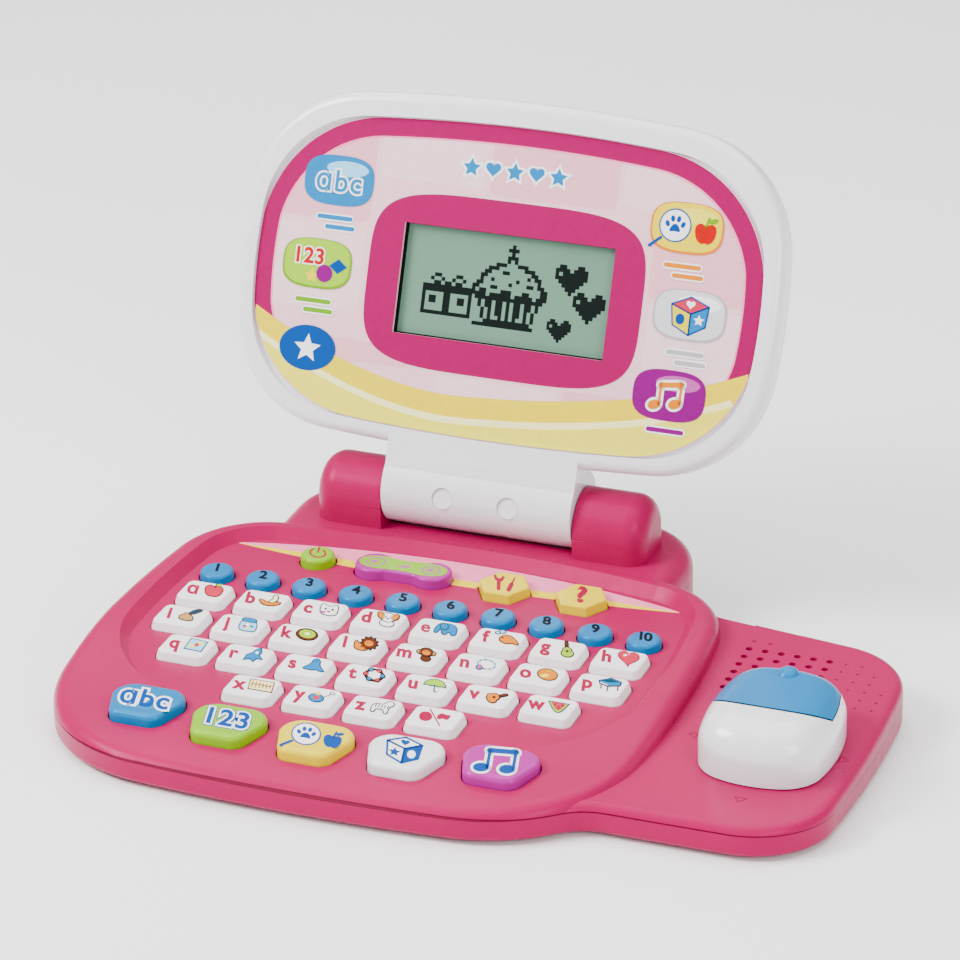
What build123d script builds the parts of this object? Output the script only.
from build123d import *
import os
from math import cos, radians, sin

os.makedirs("parts", exist_ok=True)

# ---------------------------------------------------------------- driving dimensions, mm and degrees
# The deck plane carries every key. It rises to the rear, and its local axes are
# x to the right, y to the rear and z out of the keys. Local zero is the middle of the first letter row.
DECK_TILT = 3.0
DECK_X = -34.75
DECK_Y = -8.1
DECK_HEIGHT = 21.2
DECK_NORMAL = Vector(0, -sin(radians(DECK_TILT)), cos(radians(DECK_TILT)))
DECK = Plane(origin=(DECK_X, DECK_Y, DECK_HEIGHT), x_dir=(1, 0, 0), z_dir=DECK_NORMAL)

WALL = 2.2
FOOT_HEIGHT = 1.2
PARTING_HEIGHT = 9.5
RIDGE = 2.8
FLOOR = -1.4
FLOOR_UNDERSIDE = FLOOR - WALL
DEEP = -40.0

BODY_HALF_WIDTH = 110.0
BODY_FRONT = -114.5
BODY_REAR = 68.0
BODY_TOP_ROUND = 5.5
PLATFORM_RIGHT = 179.5
PLATFORM_FRONT = -89.5
PLATFORM_REAR = 50.0
PLATFORM_TOP = -4.5
BLOCK_HALF_WIDTH = 79.5
BLOCK_REAR = 111.0
BLOCK_TOP = 2.4

LETTER_PITCH_X = 23.0
LETTER_PITCH_Y = 20.36
LETTER_WIDTH = 19.6
LETTER_DEPTH = 15.8
LETTER_CORNER = 3.4
LETTER_ROWS = ("abcdefgh", "ijklmnop", "qrstuvw", "xyz+")
NUMBER_PITCH = 18.6
NUMBER_RADIUS = 6.4
NUMBER_Y = 17.6
MODE_NAMES = ("abc", "numbers", "animals", "logic", "music")
MODE_PLACES = ((-66, -82.5), (-33, -86.5), (0, -87.5), (33, -86.5), (66, -82.5))
TOP_ROW_Y = 41.0
POWER_X = -53.0
POWER_RADIUS = 6.6
ROCKER_X = -18.5
TOOLS_X = 21.5
HELP_X = 51.5
HEXAGON_RADIUS = 10.2

KEY_TOP = 1.8
KEY_GAP = 0.5
FLANGE_TOP = -4.1
LOW_FLANGE_TOP = -5.5
FLANGE_THICKNESS = 1.0
FLANGE_LIP = 1.1
MAT_TOP = -8.9
MAT_THICKNESS = 0.8
DOME_HEIGHT = 0.9
BOARD_TOP = MAT_TOP - MAT_THICKNESS
BOARD_THICKNESS = 1.6

HINGE_Y = 81.3
HINGE_Z = 16.2
BARREL_RADIUS = 14.8
BARREL_HALF = 37.7
TOWER_RADIUS = 14.2
TOWER_ARC_Z = 10.8
TOWER_INNER = 38.3
TOWER_OUTER = 66.0
STUB_RADIUS = 4.0
STUB_CLEARANCE = 0.05
STUB_END = 46.0

# The lid plane is the face of the printed panel.
# Its local y runs up the lid and its local z points at the user.
LID_LEAN = 19.5
LID_AHEAD = 11.6
LID_BELOW = 22.4
LID_HALF_WIDTH = 107.5
LID_BOTTOM = 37.0
LID_TOP = 170.0
LID_RIM = 1.5
LID_PARTING = -6.5
LID_BACK = -14.0
PANEL_HALF_WIDTH = 100.0
PANEL_BOTTOM = 43.0
PANEL_TOP = 160.5
PANEL_THICKNESS = 1.2
WINDOW_WIDTH = 83.5
WINDOW_HEIGHT = 41.5
WINDOW_MIDDLE = 99.5

MOUSE_X = 147.5
MOUSE_Y = -32.5
MOUSE_WIDTH = 46.5
MOUSE_LENGTH = 57.0
MOUSE_TOP = 16.0
MOUSE_BASE = PLATFORM_TOP + 0.5
MOUSE_ROUND = 12.0
MOUSE_SPLIT_Y = -27.0
MOUSE_SPLIT_Z = 6.5
MOUSE_SPLIT_ANGLE = 34.0
MOUSE_BUTTON_GAP = 0.55
MOUSE_TRAVEL = 4.0
STEM_RADIUS = 5.0
CARRIAGE_TOP = PLATFORM_TOP - WALL - 0.5
CARRIAGE_THICKNESS = 1.6
CARRIAGE_WIDTH = 40.0
CARRIAGE_LENGTH = 36.0

HINGE_POINT = DECK.from_local_coords(Vector(0, HINGE_Y, HINGE_Z))
LID_NORMAL = Vector(0, -cos(radians(LID_LEAN)), sin(radians(LID_LEAN)))
LID_UP = Vector(0, sin(radians(LID_LEAN)), cos(radians(LID_LEAN)))
LID = Plane(
    origin=HINGE_POINT + LID_NORMAL * LID_AHEAD - LID_UP * LID_BELOW,
    x_dir=(1, 0, 0),
    z_dir=LID_NORMAL,
)
HINGE = Plane(origin=HINGE_POINT, x_dir=DECK.y_dir, z_dir=(1, 0, 0))


# ---------------------------------------------------------------- shared outlines
def crowned_outline(left, right, front, rear, bulges, radii, inset=0.0):
    """A four-sided face with bowed sides: bulges are front, right, rear, left; radii are the corners.
    An inset moves every side inwards and tightens the corners to match."""
    left, right, front, rear = left + inset, right - inset, front + inset, rear - inset
    front_bulge, right_bulge, rear_bulge, left_bulge = bulges
    middle_x = (left + right) / 2
    middle_y = (front + rear) / 2
    front_left = (left + left_bulge, front + front_bulge)
    front_right = (right - right_bulge, front + front_bulge)
    rear_right = (right - right_bulge, rear - rear_bulge)
    rear_left = (left + left_bulge, rear - rear_bulge)
    with BuildSketch(Plane.XY) as outline:
        with BuildLine():
            ThreePointArc(front_left, (middle_x, front), front_right)
            ThreePointArc(front_right, (right, middle_y), rear_right)
            ThreePointArc(rear_right, (middle_x, rear), rear_left)
            ThreePointArc(rear_left, (left, middle_y), front_left)
        make_face()
        for place, radius in zip((front_left, front_right, rear_right, rear_left), radii):
            fillet(outline.vertices().sort_by_distance((place[0], place[1], 0))[0], radius - inset)
    return outline.sketch


BODY_SIDES = (-BODY_HALF_WIDTH, BODY_HALF_WIDTH, BODY_FRONT, BODY_REAR, (8, 8, 7.5, 8), (56, 56, 36, 36))
BODY_OUTLINE = crowned_outline(*BODY_SIDES)


def platform_outline(inset=0.0):
    """The mouse platform, with a rear side that slants back towards the body."""
    front, rear, right = PLATFORM_FRONT + inset, PLATFORM_REAR - inset, PLATFORM_RIGHT - inset
    front_left = (60, front)
    front_right = (right - 4, front + 1)
    rear_right = (right - 4, rear - 4)
    rear_left = (60, rear + 12)
    with BuildSketch(Plane.XY) as outline:
        with BuildLine():
            ThreePointArc(front_left, (120, front), front_right)
            ThreePointArc(front_right, (right, -22), rear_right)
            ThreePointArc(rear_right, (118, rear + 4), rear_left)
            Line(rear_left, front_left)
        make_face()
        fillet(outline.vertices().group_by(Axis.X)[-1], 30 - inset)
    return outline.sketch


PLATFORM_OUTLINE = platform_outline()


def platform_blend():
    """The platform beside the body, with the two corners where their sides meet rounded in plan."""
    with BuildSketch(Plane.XY) as joined:
        add(PLATFORM_OUTLINE)
        add(BODY_OUTLINE)
        fillet(joined.vertices().sort_by_distance((100, -92, 0))[0], 20)
        fillet(joined.vertices().sort_by_distance((107, 55, 0))[0], 8)
        with Locations((184, 0)):
            Rectangle(200, 400, mode=Mode.INTERSECT)
    return joined.sketch


PLATFORM_BLEND = platform_blend()
BLOCK_SIDES = (-BLOCK_HALF_WIDTH, BLOCK_HALF_WIDTH, 45, BLOCK_REAR, (2, 1, 2, 1), (5, 5, 29, 29))
BLOCK_OUTLINE = crowned_outline(*BLOCK_SIDES)
TRAY_OUTLINE = crowned_outline(-96, 96, -71.5, 58.5, (4, 5, 9, 5), (46, 46, 22, 22))
LID_SIDES = (-LID_HALF_WIDTH, LID_HALF_WIDTH, LID_BOTTOM, LID_TOP, (5, 8, 7, 8), (44, 44, 46, 46))
LID_OUTLINE = crowned_outline(*LID_SIDES)
PANEL_SIDES = (-PANEL_HALF_WIDTH, PANEL_HALF_WIDTH, PANEL_BOTTOM, PANEL_TOP, (5, 7, 6, 7), (40, 40, 42, 42))
PANEL_OUTLINE = crowned_outline(*PANEL_SIDES)


def mode_outline(grow=0.0):
    """The shield of a mode button: wide and round at the rear, narrow at the front."""
    points = ((-13.6, 11), (13.6, 11), (13.6, 2), (9, -11), (-9, -11), (-13.6, 2))
    with BuildSketch(Plane.XY) as shield:
        with BuildLine():
            Polyline(*points, close=True)
        make_face()
        fillet(shield.vertices().group_by(Axis.Y)[0], 5)
        fillet(shield.vertices().group_by(Axis.Y)[-1], 8)
        if grow:
            offset(amount=grow)
    return shield.sketch


def rocker_outline(grow=0.0):
    """A peanut: two round lobes and a waist."""
    with BuildSketch(Plane.XY) as peanut:
        with Locations((-11.5, 0), (11.5, 0)):
            Circle(7.6)
        Rectangle(23, 11)
        waist = peanut.vertices().filter_by(lambda v: abs(abs(v.Y) - 5.5) < 0.01)
        fillet(waist, 4)
        if grow:
            offset(amount=grow)
    return peanut.sketch


def letter_outline(grow=0.0):
    with BuildSketch(Plane.XY) as rectangle:
        RectangleRounded(LETTER_WIDTH + 2 * grow, LETTER_DEPTH + 2 * grow, LETTER_CORNER + grow)
    return rectangle.sketch


def disc_outline(radius, grow=0.0):
    with BuildSketch(Plane.XY) as disc:
        Circle(radius + grow)
    return disc.sketch


def hexagon_outline(grow=0.0):
    with BuildSketch(Plane.XY) as hexagon:
        RegularPolygon(HEXAGON_RADIUS, 6)
        fillet(hexagon.vertices(), 1.2)
        if grow:
            offset(amount=grow)
    return hexagon.sketch


# ---------------------------------------------------------------- where every key sits
def number_outline(grow=0.0):
    return disc_outline(NUMBER_RADIUS, grow)


def power_outline(grow=0.0):
    return disc_outline(POWER_RADIUS, grow)


def key_table():
    """name, x, y, outline maker, top height, top rounding, taper of the cap, flange top."""
    table = []
    for row, letters in enumerate(LETTER_ROWS):
        for column, letter in enumerate(letters):
            name = "key_function" if letter == "+" else "key_" + letter
            x = (column - (len(letters) - 1) / 2) * LETTER_PITCH_X
            table.append((name, x, -row * LETTER_PITCH_Y, letter_outline, KEY_TOP, 0.9, 18, FLANGE_TOP))
    for number in range(10):
        x = (number - 4.5) * NUMBER_PITCH
        table.append((f"key_{number + 1}", x, NUMBER_Y, number_outline, 1.9, 1.6, 4, FLANGE_TOP))
    for name, place in zip(MODE_NAMES, MODE_PLACES):
        table.append(("mode_" + name, place[0], place[1], mode_outline, 2.0, 2.0, 0, LOW_FLANGE_TOP))
    table.append(("power_button", POWER_X, TOP_ROW_Y, power_outline, 2.4, 1.6, 4, FLANGE_TOP))
    table.append(("button_tools", TOOLS_X, TOP_ROW_Y, hexagon_outline, 2.2, 0.8, 6, FLANGE_TOP))
    table.append(("button_help", HELP_X, TOP_ROW_Y, hexagon_outline, 2.2, 0.8, 6, FLANGE_TOP))
    table.append(("rocker_key", ROCKER_X, TOP_ROW_Y, rocker_outline, 2.6, 1.2, 5, LOW_FLANGE_TOP))
    return table


KEYS = key_table()


# ---------------------------------------------------------------- base, outside shape
def slab(outline, bottom, top, rounding=0.0):
    """An outline of the deck plane between two deck heights, with its top edges rounded."""
    with BuildPart() as solid:
        with BuildSketch(DECK.offset(bottom)):
            add(outline)
        extrude(amount=top - bottom)
        if rounding:
            face = solid.faces().sort_by(Axis(origin=DECK.origin, direction=DECK_NORMAL))[-1]
            fillet(face.edges(), rounding)
    return solid.part


def rim_profile():
    """Side view of the space above the rim: level at the ridge, then falling over the apron."""
    side = Plane(origin=DECK.origin + Vector(-160, 0, 0), x_dir=DECK.y_dir, z_dir=(1, 0, 0))
    with BuildPart() as space:
        with BuildSketch(side):
            with BuildLine():
                Line((120, RIDGE), (-20, RIDGE))
                Spline((-20, RIDGE), (-74, FLOOR), (-101, -2.9), tangents=((-1, 0), (-1, -0.1)))
                Spline((-101, -2.9), (-109, -4.2), (-120, -8.6), tangents=((-1, -0.1), (-1, -0.55)))
                Polyline((-120, -8.6), (-120, 60), (120, 60), (120, RIDGE))
            make_face()
        extrude(amount=320)
    return space.part


def tower(side):
    """A hinge tower: round on top in side view, with a rounded outer end."""
    foot = DECK.from_local_coords(Vector(side * TOWER_INNER, HINGE_Y, TOWER_ARC_Z))
    inner = Plane(origin=foot, x_dir=DECK.y_dir, z_dir=(side, 0, 0))
    height = TOWER_ARC_Z + 6
    with BuildPart() as post:
        with BuildSketch(inner):
            Circle(TOWER_RADIUS)
            with Locations((0, -side * height / 2)):
                Rectangle(2 * TOWER_RADIUS, height)
        extrude(amount=TOWER_OUTER - TOWER_INNER)
        outer = post.faces().sort_by(Axis.X)[-1 if side > 0 else 0]
        rim = outer.edges().sort_by(Axis.Z)[1:]
        fillet(rim, 8)
    return post.part


def cavity(outline, ceiling):
    """The room inside an outline, from far below up to a ceiling at a deck height."""
    with BuildPart() as room:
        with BuildSketch(DECK.offset(DEEP)):
            add(outline)
        extrude(amount=ceiling - DEEP)
    return room.part


def platform_slab():
    """The platform with a rounded top edge, except where it runs into the body."""
    with BuildPart() as solid:
        with BuildSketch(DECK.offset(DEEP)):
            add(PLATFORM_BLEND)
        extrude(amount=PLATFORM_TOP - DEEP)
        face = solid.faces().sort_by(Axis(origin=DECK.origin, direction=DECK_NORMAL))[-1]
        fillet([e for e in face.edges() if e.center().X - DECK_X > 85], 3.5)
    return solid.part


def deck_box(left, right, front, rear, bottom, top):
    """A plain block given by its six limits in the deck's own axes."""
    with BuildPart() as box:
        with BuildSketch(DECK.offset(bottom)):
            with Locations(((left + right) / 2, (front + rear) / 2)):
                Rectangle(right - left, rear - front)
        extrude(amount=top - bottom)
    return box.part


def ground_height(y, height):
    """Height over the ground of a point at a deck y and a deck height."""
    return DECK_HEIGHT + y * sin(radians(DECK_TILT)) + height


# Screw places on the ground plane, with the deck height that each upper post is rooted at.
BODY_POSTS = ((-101, 28, FLOOR_UNDERSIDE + 1), (-100, -48, FLOOR_UNDERSIDE + 1))
BLOCK_CEILING = BLOCK_TOP - 4.2
BLOCK_POSTS = ((-60, 99, BLOCK_CEILING + 1), (60, 99, BLOCK_CEILING + 1))
PLATFORM_POSTS = ((165, -66, PLATFORM_TOP - 1), (166, 30, PLATFORM_TOP - 1))
POSTS = BODY_POSTS + BLOCK_POSTS + PLATFORM_POSTS
BOARD_POSTS = ((-86, -44), (86, -44), (-80, 38), (80, 38), (-56, -60.5), (56, -60.5))
SCREW_RADIUS = 1.3
SCREW_LENGTH = 4.6
PILOT_DEPTH = 3.0
SCREW_HEAD_RADIUS = 2.6
SCREW_HEAD = 1.5
PILOT_RADIUS = 1.35
POST_RADIUS = 3.2
BODY_ROOM = crowned_outline(*BODY_SIDES, inset=WALL)
BLOCK_ROOM = crowned_outline(*BLOCK_SIDES, inset=WALL)
PLATFORM_ROOM = platform_outline(WALL)
SPEAKER_X = 133.0
SPEAKER_Y = 18.5
APRON_CEILING = FLOOR_UNDERSIDE - 1.5
NOSE_CEILING = FLOOR_UNDERSIDE - 5.4

# ---------------------------------------------------------------- base top casing
with BuildPart() as base_top_casing:
    # The rounded body, with its ridge and its falling front apron.
    add(slab(BODY_OUTLINE, DEEP, RIDGE))
    add(rim_profile(), mode=Mode.SUBTRACT)
    upper = [e for e in base_top_casing.edges() if DECK.to_local_coords(e).center().Z > -12]
    fillet(upper, BODY_TOP_ROUND)
    # The mouse platform, the raised rear block and the two hinge towers.
    add(platform_slab())
    add(slab(BLOCK_OUTLINE, DEEP, BLOCK_TOP, 8))
    add(tower(-1))
    add(tower(1))
    # The key tray: a level floor with sloping sides that fade out towards the apron.
    with BuildSketch(DECK.offset(FLOOR)):
        add(TRAY_OUTLINE)
    extrude(amount=12, taper=-42, mode=Mode.SUBTRACT)
    # A shallow trough keeps the turning barrel clear of the block.
    with BuildSketch(HINGE.offset(-BARREL_HALF - 0.6)):
        Circle(BARREL_RADIUS + 0.8)
    extrude(amount=2 * (BARREL_HALF + 0.6), mode=Mode.SUBTRACT)
    # The inside: under the tray, lower under the apron and its nose, under the platform and under the block.
    add(cavity(BODY_ROOM, FLOOR_UNDERSIDE) & deck_box(-200, 200, -71, 200, DEEP, 20), mode=Mode.SUBTRACT)
    add(cavity(BODY_ROOM, APRON_CEILING) & deck_box(-200, 200, -101, 200, DEEP, 20), mode=Mode.SUBTRACT)
    add(cavity(BODY_ROOM, NOSE_CEILING), mode=Mode.SUBTRACT)
    add(cavity(PLATFORM_ROOM, PLATFORM_TOP - WALL), mode=Mode.SUBTRACT)
    add(cavity(BLOCK_ROOM, BLOCK_CEILING) & deck_box(-200, 200, 62, 200, DEEP, 20), mode=Mode.SUBTRACT)
    # Inside each tower: a hollow, a boss round the lid's stub shaft, and the bore that carries the shaft.
    for side in (-1, 1):
        foot = DECK.from_local_coords(Vector(side * (TOWER_INNER + 3), HINGE_Y, TOWER_ARC_Z))
        with BuildSketch(Plane(origin=foot, x_dir=DECK.y_dir, z_dir=(side, 0, 0))):
            Circle(TOWER_RADIUS - WALL)
            with Locations((0, -side * 10)):
                Rectangle(2 * (TOWER_RADIUS - WALL), 20)
        extrude(amount=18, mode=Mode.SUBTRACT)
        pivot = DECK.from_local_coords(Vector(side * (TOWER_INNER + 2), HINGE_Y, HINGE_Z))
        with BuildSketch(Plane(origin=pivot, x_dir=DECK.y_dir, z_dir=(side, 0, 0))):
            Circle(STUB_RADIUS + 2)
        extrude(amount=7)
    with BuildSketch(HINGE.offset(-STUB_END - 2)):
        Circle(STUB_RADIUS + STUB_CLEARANCE)
    extrude(amount=2 * (STUB_END + 2), mode=Mode.SUBTRACT)
    # Openings: one for each key, the speaker grille, and the window that the mouse's stem moves in.
    with BuildSketch(DECK.offset(-9)):
        for name, x, y, outline, top, rounding, taper, flange_top in KEYS:
            with Locations((x, y)):
                add(outline(KEY_GAP))
        with Locations((SPEAKER_X, SPEAKER_Y)):
            with GridLocations(6, 6, 6, 6):
                Circle(1.3)
        with Locations((MOUSE_X, MOUSE_Y)):
            window = 2 * (STEM_RADIUS + MOUSE_TRAVEL + 0.6)
            RectangleRounded(window, window, 2)
    extrude(amount=14, mode=Mode.SUBTRACT)
    # Two rails under the platform lead the mouse's carriage to left and right.
    for side in (-1, 1):
        near = MOUSE_Y + side * (CARRIAGE_LENGTH / 2 + 0.5)
        far = near + side * 2
        bottom = CARRIAGE_TOP - CARRIAGE_THICKNESS
        add(deck_box(MOUSE_X - 26, MOUSE_X + 26, min(near, far), max(near, far), bottom, PLATFORM_TOP - 1))
    # Posts for the casing screws stand on the parting line.
    # Posts for the board screws reach down to the board.
    for x, y, root in POSTS:
        with BuildSketch(Plane.XY.offset(PARTING_HEIGHT)):
            with Locations((DECK_X + x, DECK_Y + y)):
                Circle(POST_RADIUS)
        extrude(amount=ground_height(y, root) - PARTING_HEIGHT)
        with BuildSketch(Plane.XY.offset(PARTING_HEIGHT)):
            with Locations((DECK_X + x, DECK_Y + y)):
                Circle(PILOT_RADIUS)
        extrude(amount=PILOT_DEPTH, mode=Mode.SUBTRACT)
    with BuildSketch(DECK.offset(BOARD_TOP)):
        with Locations(*BOARD_POSTS):
            Circle(POST_RADIUS)
    extrude(amount=FLOOR_UNDERSIDE + 0.6 - BOARD_TOP)
    with BuildSketch(DECK.offset(BOARD_TOP)):
        with Locations(*BOARD_POSTS):
            Circle(PILOT_RADIUS)
    extrude(amount=6, mode=Mode.SUBTRACT)
    split(bisect_by=Plane.XY.offset(PARTING_HEIGHT + 0.05), keep=Keep.TOP)
base_top_casing.part.label = "base_top_casing"
export_step(base_top_casing.part, "parts/base_top_casing.step")

for name, x, y, outline, top, rounding, taper, flange_top in KEYS:
    # The flange under the deck keeps the key in.
    # The cap comes up through the deck and narrows towards its top.
    with BuildPart() as cap:
        with BuildSketch(DECK.offset(flange_top - FLANGE_THICKNESS)):
            with Locations((x, y)):
                add(outline(FLANGE_LIP))
        extrude(amount=FLANGE_THICKNESS)
        with BuildSketch(DECK.offset(flange_top)):
            with Locations((x, y)):
                add(outline())
        extrude(amount=FLOOR - flange_top)
        with BuildSketch(DECK.offset(FLOOR)):
            with Locations((x, y)):
                add(outline())
        extrude(amount=top - FLOOR, taper=taper)
        crown = cap.faces().sort_by(Axis(origin=DECK.origin, direction=DECK_NORMAL))[-1]
        fillet(crown.edges(), rounding)
    cap.part.label = name
    export_step(cap.part, f"parts/{name}.step")


# ---------------------------------------------------------------- base bottom casing, battery bay and screws
CELL_RADIUS = 7.1
CELL_LENGTH = 50.5
CELL_PITCH = 14.6
CELL_HEIGHT = 10.7
BAY_X = DECK_X
BAY_Y = DECK_Y + 82.4
BAY_LENGTH = 55.0
BAY_DEPTH = 44.2
BAY_CEILING = 18.2
DOOR_GAP = 0.3
DOOR_THICKNESS = 1.8
EAR_X = BAY_X + 31.5
EAR_RADIUS = 4.6
EAR_TOP = FOOT_HEIGHT + 3.3
DOOR_SEAT = FOOT_HEIGHT + 1.6
FLOOR_HEIGHT = FOOT_HEIGHT + 2.0
HEAD_SEAT = 7.6


def ground_solid(outlines, bottom, top):
    """The joined space of some deck outlines between two heights over the ground."""
    with BuildPart() as solid:
        for outline in outlines:
            with BuildSketch(DECK.offset(DEEP)):
                add(outline)
            extrude(amount=-DEEP)
        split(bisect_by=Plane.XY.offset(bottom), keep=Keep.TOP)
        split(bisect_by=Plane.XY.offset(top), keep=Keep.BOTTOM)
    return solid.part


def ground_disc(x, y, radius, bottom, top):
    with BuildPart() as disc:
        with BuildSketch(Plane.XY.offset(bottom)):
            with Locations((x, y)):
                Circle(radius)
        extrude(amount=top - bottom)
    return disc.part


def ground_box(x, y, width, depth, bottom, top):
    with BuildPart() as box:
        with BuildSketch(Plane.XY.offset(bottom)):
            with Locations((x, y)):
                Rectangle(width, depth)
        extrude(amount=top - bottom)
    return box.part


POST_PLACES = [(DECK_X + x, DECK_Y + y) for x, y, root in POSTS]
FEET = [(DECK_X + x, DECK_Y + y) for x, y in ((-78, -78), (150, -62), (-58, 82), (150, 22))]

with BuildPart() as base_bottom_casing:
    add(ground_solid((BODY_OUTLINE, PLATFORM_BLEND, BLOCK_OUTLINE), FOOT_HEIGHT, PARTING_HEIGHT))
    lowest = base_bottom_casing.faces().sort_by(Axis.Z)[0]
    fillet(lowest.edges(), 2.5)
    room = ground_solid((BODY_ROOM, PLATFORM_ROOM, BLOCK_ROOM), FLOOR_HEIGHT, PARTING_HEIGHT + 1)
    add(room, mode=Mode.SUBTRACT)
    # The battery bay rises from the floor as a thick-walled box, with a post for the door's screw beside it.
    add(ground_box(BAY_X, BAY_Y, BAY_LENGTH + 6, BAY_DEPTH + 6, FOOT_HEIGHT, BAY_CEILING + 1.5))
    add(ground_disc(EAR_X, BAY_Y, 6.5, FOOT_HEIGHT, BAY_CEILING - 4))
    add(ground_box(BAY_X, BAY_Y, BAY_LENGTH, BAY_DEPTH, FOOT_HEIGHT, BAY_CEILING), mode=Mode.SUBTRACT)
    # The door's recess leaves a ledge all round, and a pocket for its ear.
    recess = FOOT_HEIGHT + DOOR_THICKNESS + 0.1
    add(ground_box(BAY_X, BAY_Y, BAY_LENGTH + 3, BAY_DEPTH + 3, FOOT_HEIGHT, recess), mode=Mode.SUBTRACT)
    add(ground_disc(EAR_X, BAY_Y, EAR_RADIUS, FOOT_HEIGHT, EAR_TOP + 0.1), mode=Mode.SUBTRACT)
    add(ground_disc(EAR_X, BAY_Y, PILOT_RADIUS, FOOT_HEIGHT, 12), mode=Mode.SUBTRACT)
    # Posts carry the screws; each screw head sits deep in its post.
    for x, y in POST_PLACES:
        add(ground_disc(x, y, POST_RADIUS + 1, FLOOR_HEIGHT - 0.5, PARTING_HEIGHT))
        add(ground_disc(x, y, SCREW_HEAD_RADIUS + 0.2, 0, HEAD_SEAT), mode=Mode.SUBTRACT)
        add(ground_disc(x, y, SCREW_RADIUS + 0.15, 0, PARTING_HEIGHT + 1), mode=Mode.SUBTRACT)
    for x, y in FEET:
        add(ground_disc(x, y, 6, 0, FOOT_HEIGHT + 0.5))
base_bottom_casing.part.label = "base_bottom_casing"
export_step(base_bottom_casing.part, "parts/base_bottom_casing.step")

with BuildPart() as battery_door:
    door_top = FOOT_HEIGHT + DOOR_THICKNESS
    length = BAY_LENGTH + 3 - 2 * DOOR_GAP
    depth = BAY_DEPTH + 3 - 2 * DOOR_GAP
    add(ground_box(BAY_X, BAY_Y, length, depth, FOOT_HEIGHT, door_top))
    add(ground_disc(EAR_X, BAY_Y, EAR_RADIUS - DOOR_GAP, FOOT_HEIGHT, EAR_TOP))
    add(ground_disc(EAR_X, BAY_Y, SCREW_HEAD_RADIUS + 0.2, 0, DOOR_SEAT), mode=Mode.SUBTRACT)
    add(ground_disc(EAR_X, BAY_Y, SCREW_RADIUS + 0.15, 0, 5), mode=Mode.SUBTRACT)
    # Four grip grooves near the edge that a finger pulls on.
    for step in range(4):
        add(ground_box(BAY_X - 22 + 3 * step, BAY_Y, 1.2, 20, 0, FOOT_HEIGHT + 0.6), mode=Mode.SUBTRACT)
battery_door.part.label = "battery_door"
export_step(battery_door.part, "parts/battery_door.step")

with BuildPart() as batteries:
    for place in (-1, 0, 1):
        end = (BAY_X - CELL_LENGTH / 2, BAY_Y + place * CELL_PITCH, CELL_HEIGHT)
        along = Plane(origin=end, x_dir=(0, 1, 0), z_dir=(1, 0, 0))
        with BuildSketch(along):
            Circle(CELL_RADIUS)
        extrude(amount=CELL_LENGTH - 1)
        with BuildSketch(along.offset(CELL_LENGTH - 1)):
            Circle(2.75)
        extrude(amount=1)
batteries.part.label = "batteries"
export_step(batteries.part, "parts/batteries.step")


def screw(plane):
    """A pan-head screw: the head lies behind the plane and the shaft runs along its normal."""
    with BuildPart() as solid:
        with BuildSketch(plane.offset(-SCREW_HEAD)):
            Circle(SCREW_HEAD_RADIUS)
        extrude(amount=SCREW_HEAD)
        with BuildSketch(plane):
            Circle(SCREW_RADIUS)
        extrude(amount=SCREW_LENGTH)
        with BuildSketch(plane.offset(-SCREW_HEAD)):
            Rectangle(2.6, 0.7)
            Rectangle(0.7, 2.6)
        extrude(amount=0.8, mode=Mode.SUBTRACT)
    return solid.part


with BuildPart() as screws:
    for x, y in POST_PLACES:
        add(screw(Plane(origin=(x, y, HEAD_SEAT), z_dir=(0, 0, 1))))
    add(screw(Plane(origin=(EAR_X, BAY_Y, DOOR_SEAT), z_dir=(0, 0, 1))))
    for x, y in BOARD_POSTS:
        under = DECK.from_local_coords(Vector(x, y, BOARD_TOP - BOARD_THICKNESS))
        add(screw(Plane(origin=under, x_dir=(1, 0, 0), z_dir=DECK_NORMAL)))
screws.part.label = "screws"
export_step(screws.part, "parts/screws.step")

# ---------------------------------------------------------------- key mat, circuit board and speaker
MAT_OUTLINE = crowned_outline(-90, 90, -95.5, 48, (3, 2, 2, 2), (40, 40, 14, 14))
BOARD_OUTLINE = crowned_outline(-92, 92, -96.5, 49, (3, 2, 2, 2), (42, 42, 15, 15))
KEY_TRAVEL = 1.5
LOW_TRAVEL = 1.3
DOME_GAP = 0.1
DOME_RADIUS = 3.0
ROCKER_ARM = 11.5

with BuildPart() as key_mat:
    with BuildSketch(DECK.offset(BOARD_TOP)):
        add(MAT_OUTLINE)
        with Locations(*BOARD_POSTS):
            Circle(POST_RADIUS + 0.5, mode=Mode.SUBTRACT)
    extrude(amount=MAT_THICKNESS)
    for name, x, y, outline, top, rounding, taper, flange_top in KEYS:
        travel = KEY_TRAVEL if flange_top == FLANGE_TOP else LOW_TRAVEL
        dome_top = flange_top - FLANGE_THICKNESS - travel - DOME_GAP
        arms = (-ROCKER_ARM, ROCKER_ARM) if name == "rocker_key" else (0,)
        with BuildSketch(DECK.offset(MAT_TOP)):
            for arm in arms:
                with Locations((x + arm, y)):
                    Circle(DOME_RADIUS)
        extrude(amount=dome_top - MAT_TOP, taper=20)
key_mat.part.label = "key_mat"
export_step(key_mat.part, "parts/key_mat.step")

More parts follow.
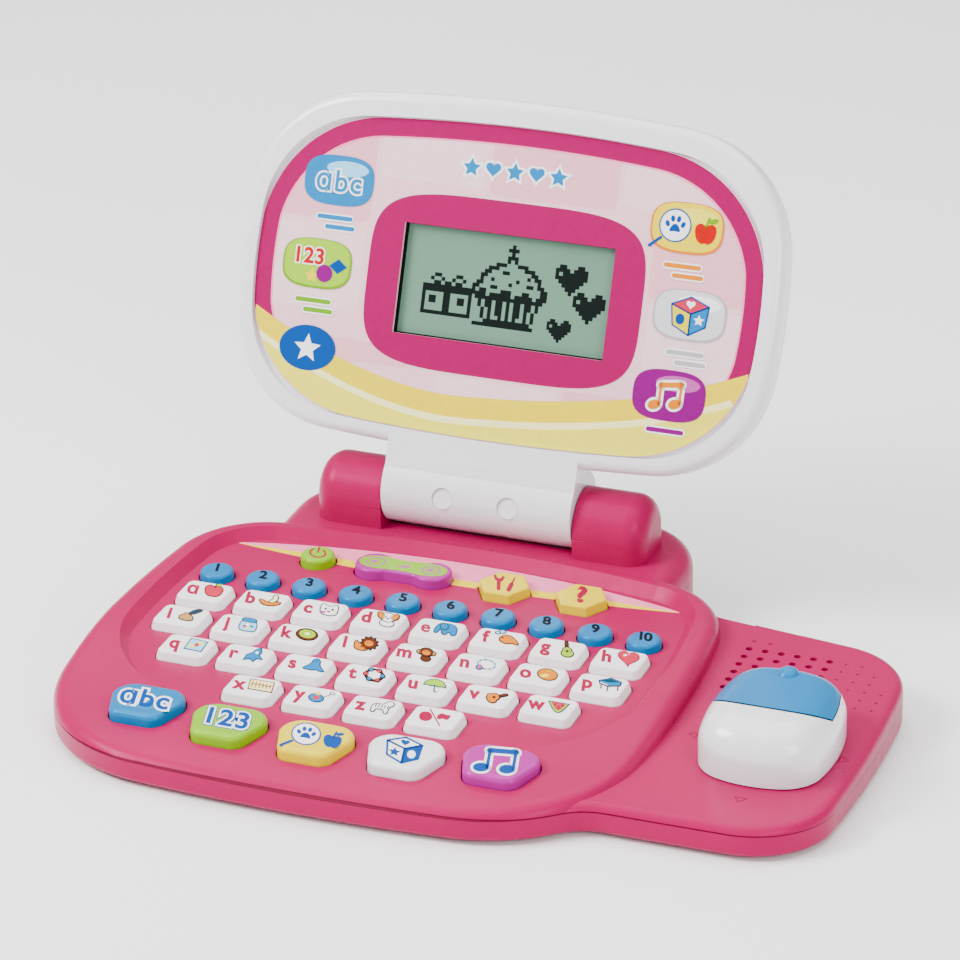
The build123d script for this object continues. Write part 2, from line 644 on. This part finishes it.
with BuildPart() as circuit_board_and_speaker:
    with BuildSketch(DECK.offset(BOARD_TOP - BOARD_THICKNESS)):
        add(BOARD_OUTLINE)
        with Locations(*BOARD_POSTS):
            Circle(SCREW_RADIUS + 0.15, mode=Mode.SUBTRACT)
    extrude(amount=BOARD_THICKNESS)
    # The speaker hangs under its grille: a round frame with a narrower magnet.
    speaker_top = PLATFORM_TOP - WALL
    with BuildSketch(DECK.offset(speaker_top - 3)):
        with Locations((SPEAKER_X, SPEAKER_Y)):
            Circle(18)
    extrude(amount=3)
    with BuildSketch(DECK.offset(speaker_top - 7)):
        with Locations((SPEAKER_X, SPEAKER_Y)):
            Circle(11)
    extrude(amount=4)
    with BuildSketch(DECK.offset(speaker_top)):
        with Locations((SPEAKER_X, SPEAKER_Y)):
            Circle(16.5)
    extrude(amount=-2, taper=30, mode=Mode.SUBTRACT)
circuit_board_and_speaker.part.label = "circuit_board_and_speaker"
export_step(circuit_board_and_speaker.part, "parts/circuit_board_and_speaker.step")

# ---------------------------------------------------------------- lid
LID_WALL = 2.2
WEB = -3.4
NECK_TOP = 44.0
NECK_BACK = -13.0
DISPLAY_WIDTH = 88.0
DISPLAY_HEIGHT = 46.0
PLUG_X = 13.0
PLUG_W = 19.5
PLUG_RADIUS = 4.25


def lid_box(left, right, low, high, back, front):
    """A plain block given by its six limits in the lid's own axes."""
    with BuildPart() as box:
        with BuildSketch(LID.offset(back)):
            with Locations(((left + right) / 2, (low + high) / 2)):
                Rectangle(right - left, high - low)
        extrude(amount=front - back)
    return box.part


with BuildPart() as lid_front_casing:
    with BuildSketch(LID.offset(LID_PARTING)):
        add(LID_OUTLINE)
    extrude(amount=LID_RIM - LID_PARTING)
    front_face = lid_front_casing.faces().sort_by(Axis(origin=LID.origin, direction=LID_NORMAL))[-1]
    fillet(front_face.edges(), 4)
    # The pocket for the printed panel, and the shallow room behind its web.
    with BuildSketch(LID.offset(-PANEL_THICKNESS)):
        add(PANEL_OUTLINE)
    extrude(amount=10, mode=Mode.SUBTRACT)
    with BuildSketch(LID.offset(LID_PARTING)):
        add(crowned_outline(*LID_SIDES, inset=LID_WALL))
    extrude(amount=WEB - LID_PARTING, mode=Mode.SUBTRACT)
    half = DISPLAY_WIDTH / 2
    low = WINDOW_MIDDLE - DISPLAY_HEIGHT / 2
    high = WINDOW_MIDDLE + DISPLAY_HEIGHT / 2
    add(lid_box(-half, half, low, high, LID_PARTING, 0), mode=Mode.SUBTRACT)
    # The neck and the barrel, hollow and open towards the room behind the panel, and the two stub shafts.
    add(lid_box(-BARREL_HALF, BARREL_HALF, LID_BELOW, NECK_TOP, NECK_BACK, LID_RIM))
    with BuildSketch(HINGE.offset(-BARREL_HALF)):
        Circle(BARREL_RADIUS)
    extrude(amount=2 * BARREL_HALF)
    with BuildSketch(LID.offset(-PANEL_THICKNESS)):
        add(PANEL_OUTLINE)
    extrude(amount=10, mode=Mode.SUBTRACT)
    hollow = BARREL_HALF - LID_WALL
    with BuildSketch(HINGE.offset(-hollow)):
        Circle(BARREL_RADIUS - LID_WALL)
    extrude(amount=2 * hollow, mode=Mode.SUBTRACT)
    add(lid_box(-hollow, hollow, LID_BELOW, NECK_TOP + 1, NECK_BACK + LID_WALL, WEB), mode=Mode.SUBTRACT)
    with BuildSketch(HINGE.offset(-STUB_END)):
        Circle(STUB_RADIUS)
    extrude(amount=STUB_END - hollow)
    with BuildSketch(HINGE.offset(hollow)):
        Circle(STUB_RADIUS)
    extrude(amount=STUB_END - hollow)
    # Two round recesses on the front of the barrel for screw plugs.
    with BuildSketch(LID.offset(LID_RIM + 0.4)):
        with Locations((-PLUG_X, PLUG_W), (PLUG_X, PLUG_W)):
            Circle(PLUG_RADIUS)
    extrude(amount=4, mode=Mode.SUBTRACT)
lid_front_casing.part.label = "lid_front_casing"
export_step(lid_front_casing.part, "parts/lid_front_casing.step")

with BuildPart() as lid_back_casing:
    with BuildSketch(LID.offset(LID_BACK)):
        add(LID_OUTLINE)
    extrude(amount=LID_PARTING - 0.2 - LID_BACK)
    back_face = lid_back_casing.faces().sort_by(Axis(origin=LID.origin, direction=LID_NORMAL))[0]
    fillet(back_face.edges(), 6)
    with BuildSketch(LID.offset(LID_BACK + LID_WALL)):
        add(crowned_outline(*LID_SIDES, inset=LID_WALL))
    extrude(amount=10, mode=Mode.SUBTRACT)
    notch = BARREL_HALF + 0.3
    add(lid_box(-notch, notch, 0, NECK_TOP + 0.3, LID_BACK - 1, 0), mode=Mode.SUBTRACT)
lid_back_casing.part.label = "lid_back_casing"
export_step(lid_back_casing.part, "parts/lid_back_casing.step")

with BuildPart() as screen_panel:
    with BuildSketch(LID.offset(-PANEL_THICKNESS)):
        add(crowned_outline(*PANEL_SIDES, inset=0.15))
    extrude(amount=PANEL_THICKNESS)
screen_panel.part.label = "screen_panel"
export_step(screen_panel.part, "parts/screen_panel.step")

with BuildPart() as lcd_module:
    half = DISPLAY_WIDTH / 2 + 2
    low = WINDOW_MIDDLE - DISPLAY_HEIGHT / 2 - 2
    high = WINDOW_MIDDLE + DISPLAY_HEIGHT / 2 + 2
    add(lid_box(-half, half, low, high, WEB - 2.8, WEB))
lcd_module.part.label = "lcd_module"
export_step(lcd_module.part, "parts/lcd_module.step")

# ---------------------------------------------------------------- mouse
MOUSE_ENDS = (-MOUSE_WIDTH / 2, MOUSE_WIDTH / 2, -MOUSE_LENGTH / 2, MOUSE_LENGTH / 2)
MOUSE_SIDES = (*MOUSE_ENDS, (5, 3.5, 6, 3.5), (15, 15, 16, 16))
MOUSE_AT = Plane(
    origin=DECK.from_local_coords(Vector(MOUSE_X, MOUSE_Y, 0)), x_dir=(1, 0, 0), z_dir=DECK_NORMAL
)
MOUSE_WALL = 2.0
NOSE_RADIUS = 4.6


def mouse_dome(inset, bottom):
    """The rounded outside of the mouse, or the same shape set in for its inside."""
    with BuildPart() as dome:
        with BuildSketch(MOUSE_AT.offset(bottom)):
            add(crowned_outline(*MOUSE_SIDES, inset=inset))
        extrude(amount=MOUSE_TOP - inset - bottom)
        face = dome.faces().sort_by(Axis(origin=DECK.origin, direction=DECK_NORMAL))[-1]
        fillet(face.edges(), MOUSE_ROUND - inset)
    return dome.part


def button_region(grow):
    """The space of the button: above a sloping cut, and inside a rim."""
    cut = MOUSE_AT.from_local_coords(Vector(0, MOUSE_SPLIT_Y - MOUSE_Y, MOUSE_SPLIT_Z))
    up = DECK_NORMAL * cos(radians(MOUSE_SPLIT_ANGLE)) + DECK.y_dir * sin(radians(MOUSE_SPLIT_ANGLE))
    with BuildPart() as above:
        with BuildSketch(Plane(origin=cut, x_dir=(1, 0, 0), z_dir=up).offset(-grow * MOUSE_BUTTON_GAP)):
            Rectangle(90, 160)
        extrude(amount=60)
    with BuildPart() as inside:
        with BuildSketch(MOUSE_AT.offset(-0.5 - grow * 0.7)):
            add(crowned_outline(*MOUSE_SIDES, inset=2.2 - grow * 0.3))
        extrude(amount=60)
    return above.part & inside.part


with BuildPart() as mouse_shell:
    add(mouse_dome(0, MOUSE_BASE))
    add(mouse_dome(MOUSE_WALL, MOUSE_BASE + 1.6), mode=Mode.SUBTRACT)
    add(button_region(1), mode=Mode.SUBTRACT)
    # The stem goes down through the platform and ends in a flange that keeps the mouse on.
    with BuildSketch(MOUSE_AT.offset(MOUSE_BASE + 0.8)):
        Circle(STEM_RADIUS)
    stem_end = CARRIAGE_TOP - CARRIAGE_THICKNESS - 0.4
    extrude(amount=stem_end - MOUSE_BASE - 0.8)
    with BuildSketch(MOUSE_AT.offset(stem_end)):
        Circle(STEM_RADIUS + 3)
    extrude(amount=-1.6)
mouse_shell.part.label = "mouse_shell"
export_step(mouse_shell.part, "parts/mouse_shell.step")

with BuildPart() as mouse_button:
    add(mouse_dome(0, MOUSE_BASE))
    add(mouse_dome(MOUSE_WALL, MOUSE_BASE - 1), mode=Mode.SUBTRACT)
    add(button_region(0), mode=Mode.INTERSECT)
    # A small round nose near the rear edge of the top.
    nose = MOUSE_AT.from_local_coords(Vector(0, 17, MOUSE_TOP - 2.5))
    with Locations(nose):
        Sphere(NOSE_RADIUS)
mouse_button.part.label = "mouse_button"
export_step(mouse_button.part, "parts/mouse_button.step")

with BuildPart() as mouse_carriage:
    with BuildSketch(MOUSE_AT.offset(CARRIAGE_TOP - CARRIAGE_THICKNESS)):
        Rectangle(CARRIAGE_WIDTH, CARRIAGE_LENGTH)
        slot_width = 2 * STEM_RADIUS + 0.1
        RectangleRounded(slot_width, slot_width + 2 * MOUSE_TRAVEL, slot_width / 2 - 0.01, mode=Mode.SUBTRACT)
    extrude(amount=CARRIAGE_THICKNESS)
mouse_carriage.part.label = "mouse_carriage"
export_step(mouse_carriage.part, "parts/mouse_carriage.step")
